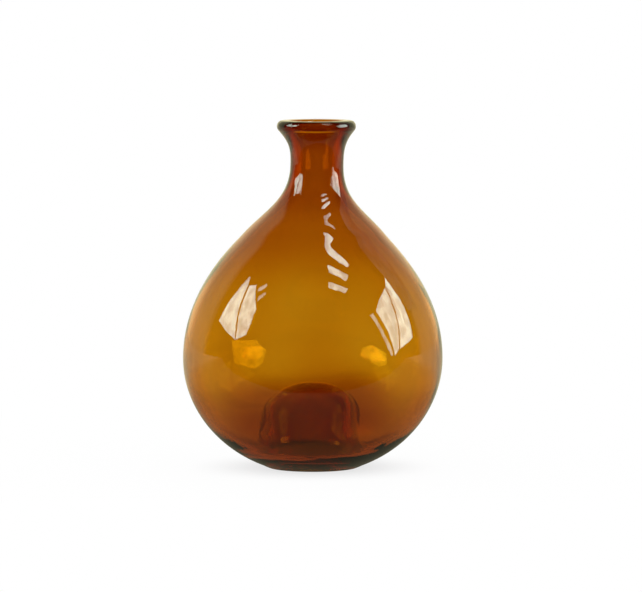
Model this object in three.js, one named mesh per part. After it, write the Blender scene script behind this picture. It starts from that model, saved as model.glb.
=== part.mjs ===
// A hand-blown glass bud vase: a teardrop bulb, a short neck with a flared mouth, a thick flat lip
// ring laid on the mouth, and a base that is pushed up high in the middle. In the top of that hollow the
// pontil rod, which held the vase while its mouth was shaped, has left a small disc of glass.
//
// Millimetres, +Z up. The vase stands on its foot ring at z = 0, with its axis on the Z axis.

import * as THREE from "three";

// Driving dimensions: heights are above the surface that the vase stands on
const vaseHeight = 180;
const belly = { radius: 67.3, height: 57 }; // the widest place
const bowlDrop = 60.4; // how deep the outside of the bowl would reach, were it not cut flat by the foot
const shoulder = { radius: 36.7, height: 121.3, slope: 0.86 }; // where the outline turns hollow
const neck = { radius: 13.7, height: 157.3 }; // the narrowest place
const mouth = { radius: 19.5, height: 174.6 }; // the flare's edge, under the lip ring
const lip = { radius: 20.4, roundWidth: 2.6, flatWidth: 3.2, depth: 6, seatHeight: 174.9 };

// The foot is a narrow flat ring round the hollow under the base, the punt.
const foot = { innerRadius: 22, outerRadius: 23.6, edgeHeight: 1 };
const punt = { height: 35.5, topWidth: 0.77, sideHeight: 0.78 }; // the last two shape its curve
const pontil = { radius: 6.5, depth: 2.2 };

// The wall is thin round the bulb and thicker in the neck and the base.
const wall = { belly: 2.9, shoulder: 3.9, neck: 5.4, mouth: 7.4 };
const bowlDepth = 56.6; // how deep the inside of the bowl would reach, were it not for the base
const baseEdgeHeight = 8; // where the inside of the bowl turns into the base
const mound = { height: 39.5, radius: 25.4, footHeight: 16 }; // the inside of the punt
const troughCorner = { radius: 27, height: 4.6 }; // the curve between mound and bowl leans to this

// How far the outline's curves keep their direction from each of those places
const bellyReach = 35;
const shoulderReach = { below: 6.5, above: 12.5 };
const neckReach = { below: 18.5, above: 6.7 };
const mouthReach = 6.7;

const pieceGap = 0.3; // clearance between two pieces of glass
const turnSegments = 48;
const bodyDivisions = 6; // points along each curve of the body's outline
const trimDivisions = 3; // the same on the lip ring and the pontil mark

const amberGlass = { color: 0xb0740c, roughness: 0.05, metalness: 0, transparent: true, opacity: 0.75 };
const thickAmberGlass = { ...amberGlass, color: 0x5a2c14, opacity: 0.9 };

// Turns an outline round the Z axis. Where two of its curves meet, it keeps only one of their end points.
function latheMesh(name, points, material) {
  const outline = points.filter((point, k) => k === 0 || point.distanceTo(points[k - 1]) > 0.001);
  const mesh = new THREE.Mesh(
    new THREE.LatheGeometry(outline, turnSegments).rotateX(Math.PI / 2),
    new THREE.MeshStandardMaterial(material),
  );
  mesh.name = name;
  return mesh;
}

// The angle at which an ellipse with this centre and half height reaches a height.
const ellipseAngle = (height, centre, halfHeight) => Math.asin((height - centre) / halfHeight);

// Draws the bowl from the angle start up to the belly, then the shoulder, the neck and the flare.
// The inside of the vase is the same line, moved in by the wall.
function drawBowlToMouth(path, start, bowlHeight, inset) {
  const across = Math.hypot(1, shoulder.slope);
  const turn = {
    radius: shoulder.radius - inset.shoulder / across,
    height: shoulder.height - (inset.shoulder * shoulder.slope) / across,
  };
  const bellyRadius = belly.radius - inset.belly;
  const neckRadius = neck.radius - inset.neck;
  const mouthRadius = mouth.radius - inset.mouth;

  path.absellipse(0, belly.height, bellyRadius, bowlHeight, start, 0, false, 0);
  path.bezierCurveTo(
    bellyRadius, belly.height + bellyReach,
    turn.radius + shoulderReach.below * shoulder.slope, turn.height - shoulderReach.below,
    turn.radius, turn.height,
  );
  path.bezierCurveTo(
    turn.radius - shoulderReach.above * shoulder.slope, turn.height + shoulderReach.above,
    neckRadius, neck.height - neckReach.below,
    neckRadius, neck.height,
  );
  path.bezierCurveTo(
    neckRadius, neck.height + neckReach.above,
    neckRadius, mouth.height - mouthReach,
    mouthRadius, mouth.height,
  );
}

function outerOutline() {
  const path = new THREE.Path();
  path.moveTo(0, punt.height);
  path.bezierCurveTo(
    foot.innerRadius * punt.topWidth, punt.height,
    foot.innerRadius, punt.height * punt.sideHeight,
    foot.innerRadius, 0,
  );
  path.lineTo(foot.outerRadius, 0);
  const start = ellipseAngle(foot.edgeHeight, belly.height, bowlDrop);
  path.quadraticCurveTo(foot.outerRadius + 0.7, 0, belly.radius * Math.cos(start), foot.edgeHeight);
  drawBowlToMouth(path, start, bowlDrop, { belly: 0, shoulder: 0, neck: 0, mouth: 0 });
  return path;
}

function innerOutline() {
  const path = new THREE.Path();
  path.moveTo(0, mound.height);
  path.bezierCurveTo(
    mound.radius * 0.71, mound.height,
    mound.radius * 0.93, mound.height * 0.72,
    mound.radius, mound.footHeight,
  );
  const start = ellipseAngle(baseEdgeHeight, belly.height, bowlDepth);
  path.bezierCurveTo(
    troughCorner.radius, troughCorner.height,
    troughCorner.radius, troughCorner.height + 1,
    (belly.radius - wall.belly) * Math.cos(start), baseEdgeHeight,
  );
  drawBowlToMouth(path, start, bowlDepth, wall);
  return path;
}

function blownBody() {
  const outside = outerOutline().getPoints(bodyDivisions);
  const inside = innerOutline().getPoints(bodyDivisions).reverse();
  return latheMesh("blown_body", [...outside, ...inside], amberGlass);
}

function lipRing() {
  const outerCentre = lip.radius - lip.roundWidth;
  const innerCentre = outerCentre - lip.flatWidth;
  const halfDepth = lip.depth / 2;
  const height = vaseHeight - halfDepth;
  const top = Math.PI / 2;
  const seat = ellipseAngle(lip.seatHeight, height, halfDepth);
  const section = new THREE.Path();
  section.absellipse(outerCentre, height, lip.roundWidth, halfDepth, seat, top, false, 0);
  section.absellipse(innerCentre, height, lip.roundWidth, halfDepth, top, Math.PI - seat, false, 0);
  section.closePath();
  return latheMesh("lip_ring", section.getPoints(trimDivisions), thickAmberGlass);
}

function pontilMark() {
  const top = punt.height - pieceGap;
  const rim = top - 0.9; // the top of the punt curves down by less than this over the disc's width
  const underside = rim - pontil.depth;
  const section = new THREE.Path();
  section.moveTo(0, underside);
  section.bezierCurveTo(
    pontil.radius * 0.6, underside - 0.6,
    pontil.radius, underside,
    pontil.radius, rim - 0.6,
  );
  section.bezierCurveTo(pontil.radius * 0.9, rim, pontil.radius * 0.6, rim + 0.2, 0, rim + 0.4);
  return latheMesh("pontil_mark", section.getPoints(trimDivisions), thickAmberGlass);
}

const vase = new THREE.Group();
vase.name = "glass_bud_vase";
vase.add(blownBody(), lipRing(), pontilMark());

export default vase;
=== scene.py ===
# Looks of a hand-blown amber glass bud vase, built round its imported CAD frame.
# Metres, +Z up. The vase stands on z = 0 with its axis on the Z axis. The camera looks along +Y.
#
# The CAD splits the vase into its gathers of glass, which keep a small gap to each other. Light
# would show every such gap, so one closed skin, with a wall of real thickness, stands for them all.
import math

import bpy
import numpy as np
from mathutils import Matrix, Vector, noise


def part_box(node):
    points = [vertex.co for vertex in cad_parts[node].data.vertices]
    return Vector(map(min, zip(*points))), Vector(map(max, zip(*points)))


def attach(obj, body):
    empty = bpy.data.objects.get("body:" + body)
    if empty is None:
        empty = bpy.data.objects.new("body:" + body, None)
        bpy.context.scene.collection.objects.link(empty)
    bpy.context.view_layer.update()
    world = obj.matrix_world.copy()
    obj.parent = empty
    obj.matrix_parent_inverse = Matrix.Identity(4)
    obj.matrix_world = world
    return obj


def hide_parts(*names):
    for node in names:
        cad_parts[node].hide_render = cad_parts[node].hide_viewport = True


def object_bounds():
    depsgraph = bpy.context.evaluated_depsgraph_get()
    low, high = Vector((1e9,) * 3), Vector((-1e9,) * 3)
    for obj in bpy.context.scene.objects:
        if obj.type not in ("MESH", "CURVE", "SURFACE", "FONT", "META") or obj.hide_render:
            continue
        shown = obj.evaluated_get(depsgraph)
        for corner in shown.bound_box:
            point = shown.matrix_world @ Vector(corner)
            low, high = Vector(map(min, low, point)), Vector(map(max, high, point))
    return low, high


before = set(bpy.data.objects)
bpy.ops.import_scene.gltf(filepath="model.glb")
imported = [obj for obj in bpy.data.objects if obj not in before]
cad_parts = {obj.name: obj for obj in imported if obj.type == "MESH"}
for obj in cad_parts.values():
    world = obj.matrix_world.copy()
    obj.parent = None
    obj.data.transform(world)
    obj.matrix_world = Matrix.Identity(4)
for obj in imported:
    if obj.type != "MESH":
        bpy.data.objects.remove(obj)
cad_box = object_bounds()
noise.seed_set(2)  # or else noise_vector differs from one run to the next

MM = 0.001
height = cad_box[1].z
belly_radius = (cad_box[1].x - cad_box[0].x) / 2
lip_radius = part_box("lip_ring")[1].x

# Outside of the vase, as the CAD has it. The bowl is the part of the bulb below its widest place.
belly_height = 57 * MM
bowl_drop = 60.4 * MM
foot_inner_radius, foot_outer_radius, foot_edge_height = 22 * MM, 23.6 * MM, 1 * MM
foot_rounding, foot_softening = 1 * MM, 0.6 * MM
punt_height = 35.5 * MM
shoulder_radius, shoulder_height, shoulder_slope = 36.7 * MM, 121.3 * MM, 0.86
neck_radius, neck_height = 13.7 * MM, 157.3 * MM
lip_round_width, lip_flat_width, lip_half_depth = 2.6 * MM, 3.2 * MM, 3 * MM

# Inside of the vase, with the mound that stands over the punt and the trough round it
bulb_wall, shoulder_wall, neck_wall = 2.9 * MM, 3.9 * MM, 5.4 * MM
trough_corner, trough_handle = np.array([27, 4.6]) * MM, np.array([0, 1]) * MM
mound_height, mound_radius, mound_foot_height = 39.5 * MM, 25.4 * MM, 16 * MM
bowl_depth, base_edge_height = 56.6 * MM, 8 * MM

# How far the handles of the curves reach
belly_handle, below_shoulder_handle = 35 * MM, 6.5 * MM
above_shoulder_handle, below_neck_handle = 12.5 * MM, 18.5 * MM
flare_handle, lip_inside_handle = 6.7 * MM, 8 * MM

point_spacing = 0.5 * MM
foot_blur, wall_blur = 0.5 * MM, 1.2 * MM
turn_count = 120

# What hand-blowing adds to the true shape. Amounts are in mm and noise scales in waves per metre,
# and each pair holds the heights or the radii, in metres, between which an effect sets in or ends.

# The punt and the mound are pushed to the left, and are uneven
punt_shift, punt_wobble, punt_wobble_scale = 2, 1.2, 34
punt_start, punt_end, punt_rim = (0.004, 0.016), (0.045, 0.05), (0.03, 0.036)

# The axis leans to the right, most of all in the neck, and the lip comes back a little
lean_low, lean_neck, lean_lip = 0.2, 2.2, 0.4
neck_span, lip_span = (0.105, 0.165), (0.165, 0.178)

# The whole wall wanders in and out, its inside wanders more, and is a little oval
wall_wander, wall_wander_scale, wall_start = 0.3, 14, (0, 0.02)
inside_wander, inside_wander_scale, inside_wander_start = 0.5, 38, (0.014, 0.03)
inside_wander_stretch = 0.6
inside_oval, oval_start = 0.5, (0.03, 0.045)

# The trough round the mound is shallower than in the CAD
trough_rise, trough_top, trough_side = 1.7, (0.006, 0.024), (0.022, 0.028)

# Where the wall is thicker all round than it should be, or thinner: by how much, at which height,
# and how tall the band is (mm)
thick_bands = ((-0.15, 98, 20), (0.9, 137, 8))

# Where it is thicker in one place, low down: by how much, at which x and z, how wide and how tall
# (mm), and whether at the front (-1), at the back (1) or at both (0)
lump_start, lump_side_start = (0.034, 0.042), (0, 0.03)
lumps = (
    (2.2, -27, 26, 16, 11, 0),
    (1.5, 24, 28, 14, 10, 0),
    (2.8, 6, 35, 28, 15, -1),
    (1.8, 2, 22, 26, 12, 1),
)

glass_ior = 1.52
glass_colour, glass_density = (0.878, 0.722, 0), 1050
ripple_scale, ripple_detail, ripple_stretch = 90, 1.5, 0.35
ripple_strength, ripple_depth = 0.12, 1 * MM

# The studio. Reflections are yellower than the white that is seen directly.
floor_half_width, floor_front, floor_back = 6, -0.14, 6
floor_albedo, floor_roughness, floor_specular = 0.9, 0.9, 0.1
# The floor's colour in its painted reflection, and the room's colour in reflections
floor_painted_reflection_colour, room_reflection_colour = (1, 0.92, 0.6), (1, 0.92, 0.55)
fill_light = 1.11
panel_colour = (0.8, 1, 0.88)
panel_distance, panels_centre = 1.2, Vector((0, 0, 0.08))
patch_scale = 7


# ---------------------------------------------------------------- outlines

def bezier(*controls):
    """Points along a cubic Bezier curve of (radius, height) points, without the last one."""
    p0, p1, p2, p3 = (np.array(p) for p in controls)
    t = np.arange(0, 1, point_spacing / np.linalg.norm(p3 - p0))[:, None]
    return (1 - t) ** 3 * p0 + 3 * (1 - t) ** 2 * t * p1 + 3 * (1 - t) * t**2 * p2 + t**3 * p3


def bowl(half_width, half_height, start_height):
    """Points along the bowl's ellipse, from a height up to the belly, without the last one."""
    start = math.asin((start_height - belly_height) / half_height)
    t = np.linspace(start, 0, int(-start * half_height / point_spacing), endpoint=False)
    return np.column_stack((half_width * np.cos(t), belly_height + half_height * np.sin(t)))


def smoothed(points, blur):
    """The outline with its curvature evened out by a Gaussian blur that keeps its two ends."""
    step = 0.8 * blur
    lengths = np.linalg.norm(np.diff(points, axis=0), axis=1)
    along = np.concatenate(([0], np.cumsum(lengths)))
    even = np.linspace(0, along[-1], int(along[-1] / step))
    line = np.column_stack([np.interp(even, along, points[:, k]) for k in (0, 1)])
    reach = int(3 * blur / step)
    weights = np.exp(-0.5 * (np.arange(-reach, reach + 1) * step / blur) ** 2)
    weights /= weights.sum()
    before = 2 * line[0] - line[reach:0:-1]
    after = 2 * line[-1] - line[-2:-reach - 2:-1]
    padded = np.vstack((before, line, after))
    return np.column_stack([np.convolve(padded[:, k], weights, mode="valid") for k in (0, 1)])


def shoulder_and_neck(belly, shoulder_inset, neck):
    """The outline from the widest place of the bulb up to the narrowest of the neck."""
    across = math.hypot(1, shoulder_slope)
    turn_r = shoulder_radius - shoulder_inset / across
    turn_z = shoulder_height - shoulder_inset * shoulder_slope / across

    def along_turn(distance):
        return turn_r - distance * shoulder_slope, turn_z + distance

    low = bezier(
        (belly, belly_height),
        (belly, belly_height + belly_handle),
        along_turn(-below_shoulder_handle),
        along_turn(0),
    )
    high = bezier(
        along_turn(0),
        along_turn(above_shoulder_handle),
        (neck, neck_height - below_neck_handle),
        (neck, neck_height),
    )
    return np.vstack((low, high))


def lip_point(angle):
    """A point of the lip's section, at an angle in degrees.

    0 is its outside, 90 the outer edge of its flat top and 180 its inside.
    """
    t = math.radians(angle)
    centre = lip_radius - lip_round_width - (lip_flat_width if angle > 90 else 0)
    radius = centre + lip_round_width * math.cos(t)
    return np.array([radius, height + lip_half_depth * (math.sin(t) - 1)])


def lip_outline():
    return np.array([lip_point(angle) for angle in (*range(-38, 91, 8), *range(98, 171, 8))])


def outer_outline():
    """The outside, from the top of the punt, over the foot, up to the lip."""
    wall = bowl(belly_radius, bowl_drop, foot_edge_height)
    punt = bezier(
        (0, punt_height),
        (foot_inner_radius * 0.77, punt_height),
        (foot_inner_radius, punt_height * 0.78),
        (foot_inner_radius, foot_rounding),
    )
    foot = bezier(
        (foot_inner_radius, foot_rounding),
        (foot_inner_radius, 0.3 * foot_rounding),
        (foot_inner_radius + 0.4 * foot_rounding, 0),
        (foot_inner_radius + foot_rounding, 0),
    )
    edge = bezier(
        (foot_inner_radius + foot_rounding, 0),
        (foot_outer_radius, 0),
        wall[0] - foot_softening,
        wall[0],
    )
    flare_end = lip_point(-46)
    flare = bezier(
        (neck_radius, neck_height),
        (neck_radius, neck_height + flare_handle),
        (neck_radius, flare_end[1] - flare_handle),
        flare_end,
    )
    above_belly = shoulder_and_neck(belly_radius, 0, neck_radius)
    below = smoothed(np.vstack((punt, foot)), foot_blur)
    above = smoothed(np.vstack((edge, wall, above_belly, flare, [flare_end])), wall_blur)
    return np.vstack((below, above))


def inner_outline():
    """The inside, from the top of the mound, through the trough, up to the lip."""
    belly = belly_radius - bulb_wall
    neck = neck_radius - neck_wall
    wall = bowl(belly, bowl_depth, base_edge_height)
    mound = bezier(
        (0, mound_height),
        (mound_radius * 0.71, mound_height),
        (mound_radius * 0.93, mound_height * 0.72),
        (mound_radius, mound_foot_height),
    )
    trough = bezier(
        (mound_radius, mound_foot_height),
        trough_corner,
        trough_corner + trough_handle,
        wall[0],
    )
    lip_inside = lip_point(180)
    flare = bezier(
        (neck, neck_height),
        (neck, neck_height + flare_handle),
        (neck, lip_inside[1] - lip_inside_handle),
        lip_inside,
    )
    above_belly = shoulder_and_neck(belly, shoulder_wall, neck)
    return smoothed(np.vstack((mound, trough, wall, above_belly, flare, [lip_inside])), wall_blur)


# ---------------------------------------------------------------- the glass

def smooth_step(value, low, high):
    t = min(max((value - low) / (high - low), 0), 1)
    return t * t * (3 - 2 * t)


def extra_wall(r, x, y, z):
    """How much thicker the wall is than it should be, because it was blown by hand."""
    extra = 0
    for thickness, band_z, tallness in thick_bands:
        extra += thickness * MM * math.exp(-(((z / MM - band_z) / tallness) ** 2))
    clear_of_mound = smooth_step(r, *lump_start)
    for thickness, lump_x, lump_z, width, tallness, side in lumps:
        there = smooth_step(y * side, *lump_side_start) if side else 1
        across, along = (x / MM - lump_x) / width, (z / MM - lump_z) / tallness
        bulge = math.exp(-(across**2) - along**2)
        extra += thickness * MM * there * clear_of_mound * bulge
    return extra


def hand_blown(r, z, turn, inside):
    """Where a point of the true shape lies on the hand-made vase.

    Its punt is pushed aside, its neck leans, and its wall is uneven.
    """
    x, y = r * math.cos(turn), r * math.sin(turn)
    pushed = smooth_step(z, *punt_start) * (1 - smooth_step(r, *punt_rim))
    pushed *= 1 - smooth_step(z, *punt_end)
    if pushed > 0:
        uneven = noise.noise_vector(Vector((x, y, z)) * punt_wobble_scale)
        x += (punt_wobble * uneven.x - punt_shift) * MM * pushed
        y += punt_wobble * MM * uneven.y * pushed
        z += punt_wobble * MM * uneven.z * pushed
    lean = lean_low * MM + lean_neck * MM * smooth_step(z, *neck_span)
    lean -= lean_lip * MM * smooth_step(z, *lip_span)
    spread = min(r / belly_radius, 1) * smooth_step(z, *wall_start)
    place = Vector((x, y, z)) * wall_wander_scale + Vector((3.1, 0, 0))
    wander = noise.noise(place) * wall_wander * MM
    extra = 0
    if inside:
        risen = trough_rise * MM * (1 - smooth_step(z, *trough_top))
        z += risen * smooth_step(r, *trough_side)
        place = Vector((x, y, z * inside_wander_stretch)) * inside_wander_scale
        finer = noise.noise(place + Vector((0, 7.3, 0))) * inside_wander * MM
        wander += finer * smooth_step(z, *inside_wander_start)
        wander += inside_oval * MM * math.cos(turn) ** 2 * smooth_step(z, *oval_start)
        extra = extra_wall(r, x, y, z) * smooth_step(r, 0, 6 * MM)
    scale = 1 + (spread * wander - extra) / max(r, 5 * MM)
    return x * scale + lean, y * scale, z


def add_object(name, mesh):
    made = bpy.data.objects.new(name, mesh)
    bpy.context.scene.collection.objects.link(made)
    return made


def skin(profile, from_inside):
    """Vertices and faces of the vase, turned from a profile of (radius, height) points."""
    turns = [2 * math.pi * k / turn_count for k in range(turn_count)]
    rings = []
    vertices = []
    for (r, z), within in zip(profile, from_inside):
        if r < 1e-6:
            rings.append([len(vertices)])
            vertices.append(hand_blown(0, z, 0, within))
            continue
        rings.append(range(len(vertices), len(vertices) + turn_count))
        vertices.extend(hand_blown(r, z, turn, within) for turn in turns)
    faces = []
    for low, high in zip(rings, rings[1:]):
        for k in range(turn_count):
            n = (k + 1) % turn_count
            if len(low) == 1:
                face = (low[0], high[k], high[n])
            elif len(high) == 1:
                face = (low[k], high[0], low[n])
            else:
                face = (low[k], high[k], high[n], low[n])
            faces.append(face[::-1])
    return vertices, faces


def make_glass():
    outside, lip, inside = outer_outline(), lip_outline(), inner_outline()[::-1]
    profile = np.vstack((outside, lip, inside))
    vertices, faces = skin(profile, np.arange(len(profile)) >= len(outside) + len(lip))
    mesh = bpy.data.meshes.new("glass_vase")
    mesh.from_pydata(vertices, [], faces)
    mesh.shade_smooth()
    glass = add_object("glass_vase", mesh)
    glass.data.materials.append(amber_glass())
    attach(glass, "root")
    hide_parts("blown_body", "lip_ring", "pontil_mark")


def amber_glass():
    """Clear smooth glass that takes blue and some green out of the light on its way through."""
    material = bpy.data.materials.new("amber_glass")
    material.use_nodes = True
    nodes, links = material.node_tree.nodes, material.node_tree.links
    shader = nodes["Principled BSDF"]
    shader.inputs["Base Color"].default_value = (1, 1, 1, 1)
    shader.inputs["Transmission Weight"].default_value = 1
    shader.inputs["Roughness"].default_value = 0
    shader.inputs["IOR"].default_value = glass_ior
    tint = nodes.new("ShaderNodeVolumeAbsorption")
    tint.inputs["Color"].default_value = (*glass_colour, 1)
    tint.inputs["Density"].default_value = glass_density
    links.new(tint.outputs[0], nodes["Material Output"].inputs["Volume"])
    # Faint ripples that the tools and the turning left in the skin of the glass
    place = nodes.new("ShaderNodeTexCoord")
    stretch = nodes.new("ShaderNodeMapping")
    stretch.inputs["Scale"].default_value = (1, 1, ripple_stretch)
    links.new(place.outputs["Object"], stretch.inputs["Vector"])
    ripples = nodes.new("ShaderNodeTexNoise")
    ripples.inputs["Scale"].default_value = ripple_scale
    ripples.inputs["Detail"].default_value = ripple_detail
    links.new(stretch.outputs[0], ripples.inputs["Vector"])
    bump = nodes.new("ShaderNodeBump")
    bump.inputs["Strength"].default_value = ripple_strength
    bump.inputs["Distance"].default_value = ripple_depth
    links.new(ripples.outputs[0], bump.inputs["Height"])
    links.new(bump.outputs[0], shader.inputs["Normal"])
    return material


# ---------------------------------------------------------------- shading shared by the studio

def plug(tree, value, socket):
    """Puts a number, or the output of another node, into a socket."""
    if isinstance(value, (int, float)):
        socket.default_value = value
    else:
        tree.links.new(value, socket)


def ramp(tree, value, start, end):
    """A smooth step between two (value, result) pairs, and level outside of them."""
    node = tree.nodes.new("ShaderNodeMapRange")
    node.interpolation_type = "SMOOTHSTEP"
    for name, number in zip(
        ("Value", "From Min", "From Max", "To Min", "To Max"),
        (value, start[0], end[0], start[1], end[1]),
    ):
        plug(tree, number, node.inputs[name])
    return node.outputs["Result"]


def choose(tree, factor, without, with_it):
    """The value without the factor, mixed into the value with it."""
    node = tree.nodes.new("ShaderNodeMix")
    for name, value in (("Factor", factor), ("A", without), ("B", with_it)):
        plug(tree, value, node.inputs[name])
    return node.outputs["Result"]


def choose_shader(tree, factor, without, with_it):
    node = tree.nodes.new("ShaderNodeMixShader")
    for socket, value in zip(node.inputs, (factor, without, with_it)):
        tree.links.new(value, socket)
    return node.outputs[0]


def turned_to(tree, value, low, high, without, with_it):
    """One value where another is under low, turning smoothly into with_it at high."""
    return choose(tree, ramp(tree, value, (low, 0), (high, 1)), without, with_it)


def math_node(tree, operation, *values):
    node = tree.nodes.new("ShaderNodeMath")
    node.operation = operation
    for value, socket in zip(values, node.inputs):
        plug(tree, value, socket)
    return node.outputs[0]


def emission(tree, strength, colour=(1, 1, 1)):
    node = tree.nodes.new("ShaderNodeEmission")
    node.inputs["Color"].default_value = (*colour, 1)
    plug(tree, strength, node.inputs["Strength"])
    return node.outputs[0]


def coordinates(tree, kind):
    return tree.nodes.new("ShaderNodeTexCoord").outputs[kind]


def axes(tree, place):
    """The X, Y and Z of a place or a direction."""
    node = tree.nodes.new("ShaderNodeSeparateXYZ")
    tree.links.new(place, node.inputs[0])
    return node.outputs


def has_bounced(tree, depth):
    """1 for light seen after at least one bounce of this kind, and 0 for the rest."""
    path = tree.nodes.new("ShaderNodeLightPath")
    return math_node(tree, "GREATER_THAN", path.outputs[depth], 0.5)


def by_bounce(tree, depth, without, with_it):
    """One value for light that has bounced in this way, and another for the rest."""
    return choose(tree, has_bounced(tree, depth), without, with_it)


# ---------------------------------------------------------------- the studio

def make_floor():
    """A pale table top that fades into the white backdrop, with painted light filling most of its
    shadow, a painted shadow under the vase seen through the glass, and a painted dim reflection.
    """
    material = bpy.data.materials.new("pale_floor")
    material.use_nodes = True
    tree = material.node_tree
    place = coordinates(tree, "Object")
    length = tree.nodes.new("ShaderNodeVectorMath")
    length.operation = "LENGTH"
    tree.links.new(place, length.inputs[0])
    reach = length.outputs["Value"]

    # Seen directly: a lit table right at the vase, with painted light from an emission that fills
    # in most of its shadow, and as white as the backdrop further out
    table = tree.nodes["Principled BSDF"]
    table.inputs["Base Color"].default_value = (floor_albedo, floor_albedo, floor_albedo, 1)
    table.inputs["Roughness"].default_value = floor_roughness
    table.inputs["Specular IOR Level"].default_value = floor_specular
    emission_share = ramp(tree, reach, (0.022, 0.75), (0.07, 0.97))
    emission_share = turned_to(tree, reach, 0.07, 0.3, emission_share, 1.0)
    direct = choose_shader(tree, emission_share, table.outputs[0], emission(tree, 1.0))

    # Seen through the glass: an emission with a painted shadow, dark under the vase and white
    # further out
    shade = ramp(tree, reach, (0.03, 0.06), (0.09, 0.75))
    shade = turned_to(tree, reach, 0.09, 0.3, shade, 1.0)
    passed = has_bounced(tree, "Transmission Depth")
    direct = choose_shader(tree, passed, direct, emission(tree, shade))

    # Painted reflection: as mirrored by the outside of the glass, and by its inside, the floor is a
    # dim yellowish emission, not the lit table
    outside = ramp(tree, reach, (0.03, 0.14), (0.1, 0.22))
    outside = turned_to(tree, axes(tree, place)["Y"], 0, 0.35, outside, 0.7)
    inside = ramp(tree, reach, (0.15, 1.15), (0.35, 0.6))
    inside = turned_to(tree, reach, 0.4, 1.5, inside, 1.6)
    dimness = by_bounce(tree, "Transmission Depth", outside, inside)
    mirrored = emission(tree, dimness, floor_painted_reflection_colour)
    seen = choose_shader(tree, has_bounced(tree, "Glossy Depth"), direct, mirrored)
    tree.links.new(seen, tree.nodes["Material Output"].inputs["Surface"])

    left, right = -floor_half_width, floor_half_width
    front = [(left, floor_front, 0), (right, floor_front, 0)]
    back = [(right, floor_back, 0), (left, floor_back, 0)]
    mesh = bpy.data.meshes.new("floor")
    mesh.from_pydata(front + back, [], [(0, 1, 2, 3)])
    mesh.materials.append(material)
    add_object("floor", mesh)


def make_world():
    """White all round for what is seen directly or through the glass, dimmer for reflections."""
    world = bpy.data.worlds.new("studio")
    bpy.context.scene.world = world
    world.use_nodes = True
    tree = world.node_tree
    direction = axes(tree, coordinates(tree, "Generated"))
    away, up = direction["Y"], direction["Z"]

    # Seen directly or through the glass: white, and dark overhead
    straight = ramp(tree, up, (0.35, 1), (0.6, 0.02))

    # Mirrored by the outside of the glass: dark at the camera's side, white behind the vase
    room = ramp(tree, away, (0.3, 0.02), (0.45, 0.6))
    room = turned_to(tree, away, 0.7, 0.95, room, 1.0)

    # Mirrored by the inside of the glass
    level = ramp(tree, away, (-0.3, 0.5), (0.2, 2))
    steep = ramp(tree, away, (-0.3, 0.2), (0.2, 1))
    slope = math_node(tree, "ABSOLUTE", up)
    inside = turned_to(tree, slope, 0.1, 0.3, level, steep)

    mirrored = by_bounce(tree, "Transmission Depth", room, inside)
    seen = by_bounce(tree, "Glossy Depth", straight, mirrored)
    path = tree.nodes.new("ShaderNodeLightPath")
    seen = choose(tree, path.outputs["Is Diffuse Ray"], seen, fill_light)
    seen = choose(tree, path.outputs["Is Camera Ray"], seen, 1.0)
    tree.links.new(seen, tree.nodes["Background"].inputs["Strength"])

    tint = tree.nodes.new("ShaderNodeMix")
    tint.data_type = "RGBA"
    tint.inputs[6].default_value = (1, 1, 1, 1)  # its colour A
    tint.inputs[7].default_value = (*room_reflection_colour, 1)  # its colour B
    tree.links.new(has_bounced(tree, "Glossy Depth"), tint.inputs["Factor"])
    tree.links.new(tint.outputs[2], tree.nodes["Background"].inputs["Color"])


def panel(name, outside, inside, corners):
    """A flat soft light with these corners, which only the glass mirrors.

    It is as bright as `outside` in the outer skin of the glass, and as bright as `inside` to light
    that is already in the vase. It is not there for other rays.
    """
    material = bpy.data.materials.new(name)
    material.use_nodes = True
    tree = material.node_tree
    tree.nodes.remove(tree.nodes["Principled BSDF"])
    patches = tree.nodes.new("ShaderNodeTexNoise")
    patches.inputs["Scale"].default_value = patch_scale
    tree.links.new(coordinates(tree, "Object"), patches.inputs["Vector"])
    uneven = ramp(tree, patches.outputs[0], (0.38, 0.75), (0.62, 1.25))
    mirrored = by_bounce(tree, "Transmission Depth", outside, inside)
    mirrored = by_bounce(tree, "Glossy Depth", 0.0, mirrored)
    glow = emission(tree, math_node(tree, "MULTIPLY", uneven, mirrored), panel_colour)
    clear = tree.nodes.new("ShaderNodeBsdfTransparent").outputs[0]
    shown = choose_shader(tree, has_bounced(tree, "Glossy Depth"), clear, glow)
    tree.links.new(shown, tree.nodes["Material Output"].inputs["Surface"])

    mesh = bpy.data.meshes.new(name)
    mesh.from_pydata([toward(*corner) for corner in corners], [], [range(len(corners))])
    mesh.materials.append(material)
    lamp = add_object(name, mesh)
    lamp.visible_camera = False
    lamp.visible_diffuse = False
    lamp.visible_shadow = False


def toward(azimuth, elevation):
    """The point that far out from the bulb: azimuth 0 is towards the camera, 90 to its right."""
    a, e = math.radians(azimuth), math.radians(elevation)
    out = Vector((math.sin(a) * math.cos(e), -math.cos(a) * math.cos(e), math.sin(e)))
    return panels_centre + out * panel_distance


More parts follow.
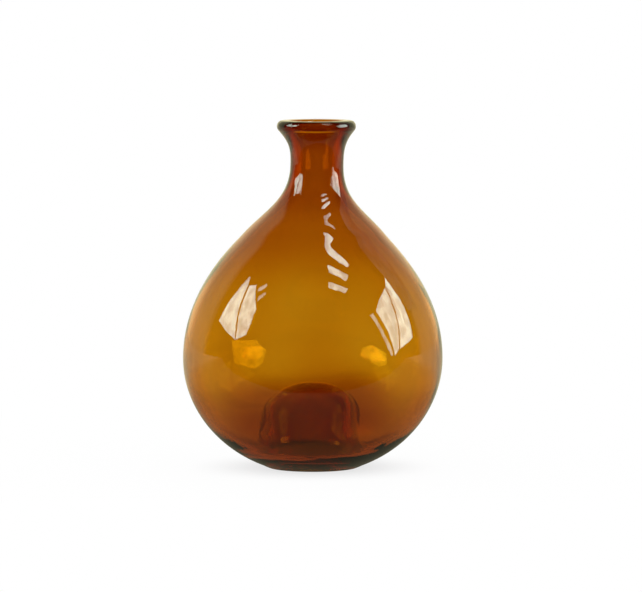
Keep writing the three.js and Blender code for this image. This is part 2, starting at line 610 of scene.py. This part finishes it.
def make_lights():
    """Each panel with its two strengths and its corners, as azimuths and elevations in degrees."""
    panel("left_main", 9, 3, ((-96, 45), (-99.5, 17.5), (-73.5, 11), (-89, 41)))
    panel("left_side", 9, 3, ((-87, 41.5), (-72, 11.5), (-62, 16), (-61.5, 34), (-79, 46)))
    panel("right_main", 9, 3, ((104, 38.5), (105, 26), (100, 8), (82, 4.5), (97, 37)))
    panel("right_side", 9, 3, ((95, 37), (80.5, 4), (75.5, 1), (69, 31), (80.5, 36)))
    panel("right_strip", 5, 0, ((59.5, 30), (63.5, 30), (73.5, 2), (71.5, 0.5)))
    panel("left_bar_high", 5, 0, ((-72, 45), (-67, 50), (-65, 48), (-70, 43)))
    panel("left_bar_low", 5, 0, ((-66.5, 41), (-62.5, 46), (-60.5, 44), (-64, 38.5)))
    panel("top_high", 9, 0, (
        (46, 78.5), (60, 77), (64, 72.5), (71, 66), (72, 60), (66, 60), (57, 66), (45.5, 73)
    ))
    panel("top_line", 4, 0, ((82, 79.5), (90, 70.5), (95, 71), (90, 80)))
    panel("top_middle", 9, 0, ((35, 68.5), (59, 56.5), (51, 54.5), (31, 64.5)))
    panel("top_low", 9, 0, ((25, 58.5), (49, 50), (42, 48), (22.5, 54)))
    panel("right_veil", 0.35, 0, (
        (107, 20), (104, 36), (108, 58), (128, 62), (126, 30), (120, 18)
    ))
    panel("right_glow", 0, 13, ((50, 2), (58, 6), (70, 3), (69, -6), (58, -10), (50, -6)))
    panel("left_glow", 0, 13, ((-43, 7), (-56, 12), (-74, 8), (-70, -4), (-56, -8), (-44, -3)))


def make_camera():
    """A long lens from slightly above, centred a little to the right of the vase's axis."""
    camera = add_object("camera", bpy.data.cameras.new("camera"))
    camera.location = (0.0044, -2.4, 0.285)
    aim = Vector((0.0044, 0, 0.089))
    camera.rotation_mode = "QUATERNION"
    camera.rotation_quaternion = (aim - camera.location).to_track_quat("-Z", "Y")
    camera.data.sensor_width = 36
    camera.data.lens = 260.6
    camera.data.clip_start, camera.data.clip_end = 0.05, 50
    bpy.context.scene.camera = camera


make_glass()
make_floor()
make_world()
make_lights()
make_camera()

scene = bpy.context.scene
scene.view_settings.view_transform = "Standard"
scene.cycles.max_bounces = 24
scene.cycles.transmission_bounces = 24
scene.cycles.glossy_bounces = 12
